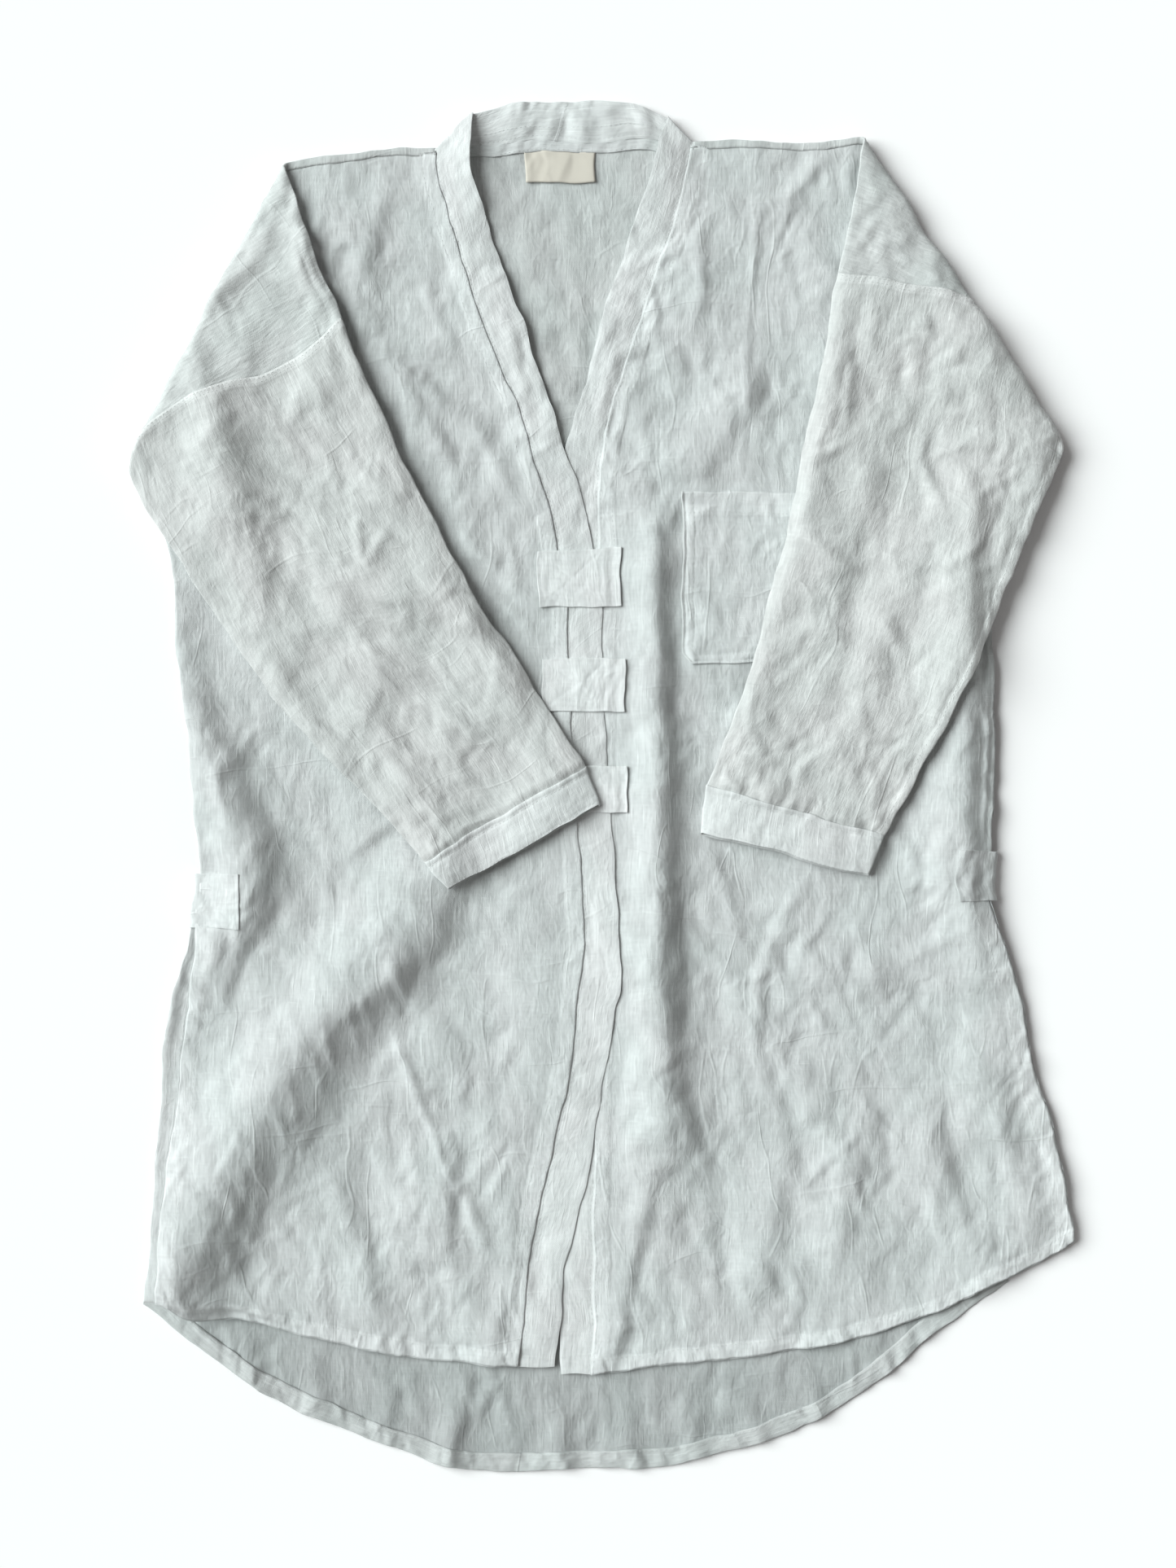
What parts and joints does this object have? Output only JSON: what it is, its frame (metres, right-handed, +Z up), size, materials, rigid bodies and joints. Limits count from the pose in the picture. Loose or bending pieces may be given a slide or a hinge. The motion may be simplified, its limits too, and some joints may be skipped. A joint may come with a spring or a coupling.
{
  "type": "tunic top",
  "caption": "Open-front linen tunic with a neck band and stitched closing tabs, laid flat with its sleeves folded over the fronts",
  "frame": {"origin": "middle of the laid-out garment's length and width, on the surface that the back lies on", "axes": "+Z up from the surface, +Y towards the neck, +X towards the wearer's left side"},
  "size_m": [0.6766, 0.9744, 0.0226],
  "materials": {
    "linen": "matte slubby plain-weave linen, off-white",
    "band": "matte doubled plain-weave linen, off-white",
    "label": "matte woven tape, cream, blank"
  },
  "bodies": {
    "root": {"back": "linen", "front_right": "linen", "front_left": "linen", "sleeve_right": "linen", "sleeve_left": "linen", "neck_band_right": "band", "neck_band_left": "band", "cuff_right": "band", "cuff_left": "band", "pocket": "linen", "closure_tab_1": "band", "closure_tab_2": "band", "closure_tab_3": "band", "side_tab_right": "band", "side_tab_left": "band", "neck_label": "label"}
  },
  "joints": []
}
